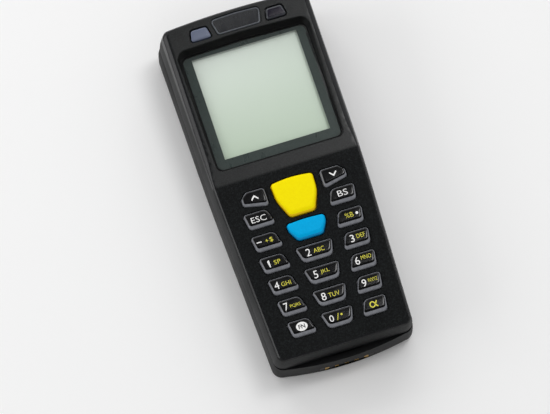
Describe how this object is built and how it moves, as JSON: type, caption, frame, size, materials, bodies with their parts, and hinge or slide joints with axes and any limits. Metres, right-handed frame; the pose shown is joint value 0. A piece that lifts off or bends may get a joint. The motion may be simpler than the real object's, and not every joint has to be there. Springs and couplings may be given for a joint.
{
  "type": "portable barcode data terminal",
  "caption": "Slim handheld data terminal with a square display above a numeric keypad, a barcode scan window in its wider head and a hinged battery door in its back.",
  "frame": {"origin": "centre of the footprint, on the flat back", "axes": "+Y towards the scanning end, +Z out of the display, +X to the right of someone reading the display"},
  "size_m": [0.061, 0.139, 0.0251],
  "materials": {
    "front_shell": "fine-textured dark grey",
    "rear_shell": "satin dark grey",
    "seal_rubber": "matt",
    "screw_steel": "dark plated",
    "window_clear": "clear, gloss",
    "mask_print": "matt grey border print",
    "display_glass": "pale grey-green, satin",
    "tray_plastic": "matt",
    "flex_film": "amber film",
    "lens_plastic": "smoky grey-blue",
    "led_body": "milky",
    "plate_plastic": "smooth dark grey, bare",
    "key_black": "gloss black with a grey rim",
    "key_yellow": "satin yellow",
    "key_blue": "satin blue",
    "mat_rubber": "matt",
    "dome_steel": "bright",
    "board_laminate": "green solder mask",
    "chip_black": "matt",
    "can_steel": "tinned",
    "part_black": "matt",
    "cell_steel": "bright",
    "holder_plastic": "matt",
    "engine_black": "matt",
    "lens_glass": "coated",
    "lamp_red": "clear red",
    "scan_red": "dark red, gloss",
    "cell_wrap": "printed wrap",
    "spring_steel": "nickel plated",
    "contact_steel": "nickel plated",
    "carrier_plastic": "matt",
    "pad_gold": "gold plated",
    "latch_plastic": "matt",
    "pin_steel": "ground"
  },
  "bodies": {
    "terminal": {"front_housing": "front_shell", "rear_housing": "rear_shell", "housing_seal": "seal_rubber", "case_screws": "screw_steel", "display_window": "window_clear", "window_mask": "mask_print", "lcd_panel": "display_glass", "lcd_tray": "tray_plastic", "lcd_flex": "flex_film", "status_lens": "lens_plastic", "status_leds": "led_body", "name_plate": "plate_plastic", "keypad_mat": "mat_rubber", "snap_domes": "dome_steel", "main_board": "board_laminate", "board_screws": "cell_steel", "board_chips": "chip_black", "shield_can": "can_steel", "buzzer": "part_black", "backup_cell": "cell_steel", "backup_holder": "holder_plastic", "scan_chassis": "engine_black", "scan_lens": "lens_glass", "scan_lamps": "lamp_red", "scan_sensor": "board_laminate", "scan_flex": "flex_film", "engine_screws": "cell_steel", "scan_window": "scan_red", "battery_cells": "cell_wrap", "battery_springs": "spring_steel", "battery_contacts": "contact_steel", "contact_carrier": "carrier_plastic", "cradle_contacts": "pad_gold", "hinge_pin": "pin_steel"},
    "key_up": {"key_up": "key_black"},
    "key_down": {"key_down": "key_black"},
    "key_esc": {"key_esc": "key_black"},
    "key_bs": {"key_bs": "key_black"},
    "key_minus": {"key_minus": "key_black"},
    "key_percent": {"key_percent": "key_black"},
    "key_1": {"key_1": "key_black"},
    "key_2": {"key_2": "key_black"},
    "key_3": {"key_3": "key_black"},
    "key_4": {"key_4": "key_black"},
    "key_5": {"key_5": "key_black"},
    "key_6": {"key_6": "key_black"},
    "key_7": {"key_7": "key_black"},
    "key_8": {"key_8": "key_black"},
    "key_9": {"key_9": "key_black"},
    "key_fn": {"key_fn": "key_black"},
    "key_0": {"key_0": "key_black"},
    "key_alpha": {"key_alpha": "key_black"},
    "key_scan": {"key_scan": "key_yellow"},
    "key_enter": {"key_enter": "key_blue"},
    "key_power": {"key_power": "key_black"},
    "door": {"battery_door": "rear_shell"},
    "latch": {"door_latch": "latch_plastic"}
  },
  "joints": [
    {"name": "key_up_press", "type": "slide", "parent": "terminal", "child": "key_up", "axis": [0, 0, -1], "range_m": [0, 0.0008], "stiffness_N_per_m": 1500},
    {"name": "key_down_press", "type": "slide", "parent": "terminal", "child": "key_down", "axis": [0, 0, -1], "range_m": [0, 0.0008], "stiffness_N_per_m": 1500},
    {"name": "key_esc_press", "type": "slide", "parent": "terminal", "child": "key_esc", "axis": [0, 0, -1], "range_m": [0, 0.0008], "stiffness_N_per_m": 1500},
    {"name": "key_bs_press", "type": "slide", "parent": "terminal", "child": "key_bs", "axis": [0, 0, -1], "range_m": [0, 0.0008], "stiffness_N_per_m": 1500},
    {"name": "key_minus_press", "type": "slide", "parent": "terminal", "child": "key_minus", "axis": [0, 0, -1], "range_m": [0, 0.0008], "stiffness_N_per_m": 1500},
    {"name": "key_percent_press", "type": "slide", "parent": "terminal", "child": "key_percent", "axis": [0, 0, -1], "range_m": [0, 0.0008], "stiffness_N_per_m": 1500},
    {"name": "key_1_press", "type": "slide", "parent": "terminal", "child": "key_1", "axis": [0, 0, -1], "range_m": [0, 0.0008], "stiffness_N_per_m": 1500},
    {"name": "key_2_press", "type": "slide", "parent": "terminal", "child": "key_2", "axis": [0, 0, -1], "range_m": [0, 0.0008], "stiffness_N_per_m": 1500},
    {"name": "key_3_press", "type": "slide", "parent": "terminal", "child": "key_3", "axis": [0, 0, -1], "range_m": [0, 0.0008], "stiffness_N_per_m": 1500},
    {"name": "key_4_press", "type": "slide", "parent": "terminal", "child": "key_4", "axis": [0, 0, -1], "range_m": [0, 0.0008], "stiffness_N_per_m": 1500},
    {"name": "key_5_press", "type": "slide", "parent": "terminal", "child": "key_5", "axis": [0, 0, -1], "range_m": [0, 0.0008], "stiffness_N_per_m": 1500},
    {"name": "key_6_press", "type": "slide", "parent": "terminal", "child": "key_6", "axis": [0, 0, -1], "range_m": [0, 0.0008], "stiffness_N_per_m": 1500},
    {"name": "key_7_press", "type": "slide", "parent": "terminal", "child": "key_7", "axis": [0, 0, -1], "range_m": [0, 0.0008], "stiffness_N_per_m": 1500},
    {"name": "key_8_press", "type": "slide", "parent": "terminal", "child": "key_8", "axis": [0, 0, -1], "range_m": [0, 0.0008], "stiffness_N_per_m": 1500},
    {"name": "key_9_press", "type": "slide", "parent": "terminal", "child": "key_9", "axis": [0, 0, -1], "range_m": [0, 0.0008], "stiffness_N_per_m": 1500},
    {"name": "key_fn_press", "type": "slide", "parent": "terminal", "child": "key_fn", "axis": [0, 0, -1], "range_m": [0, 0.0008], "stiffness_N_per_m": 1500},
    {"name": "key_0_press", "type": "slide", "parent": "terminal", "child": "key_0", "axis": [0, 0, -1], "range_m": [0, 0.0008], "stiffness_N_per_m": 1500},
    {"name": "key_alpha_press", "type": "slide", "parent": "terminal", "child": "key_alpha", "axis": [0, 0, -1], "range_m": [0, 0.0008], "stiffness_N_per_m": 1500},
    {"name": "key_scan_press", "type": "slide", "parent": "terminal", "child": "key_scan", "axis": [0, 0, -1], "range_m": [0, 0.0008], "stiffness_N_per_m": 1500},
    {"name": "key_enter_press", "type": "slide", "parent": "terminal", "child": "key_enter", "axis": [0, 0, -1], "range_m": [0, 0.0008], "stiffness_N_per_m": 1500},
    {"name": "key_power_press", "type": "slide", "parent": "terminal", "child": "key_power", "axis": [0, 0, -1], "range_m": [0, 0.0008], "stiffness_N_per_m": 1500},
    {"name": "door_hinge", "type": "hinge", "parent": "terminal", "child": "door", "pos_m": [0, -0.0034, 0.002], "axis": [1, 0, 0], "range_deg": [0, 85]},
    {"name": "latch_slide", "type": "slide", "parent": "door", "child": "latch", "axis": [0, -1, 0], "range_m": [0, 0.002]}
  ]
}
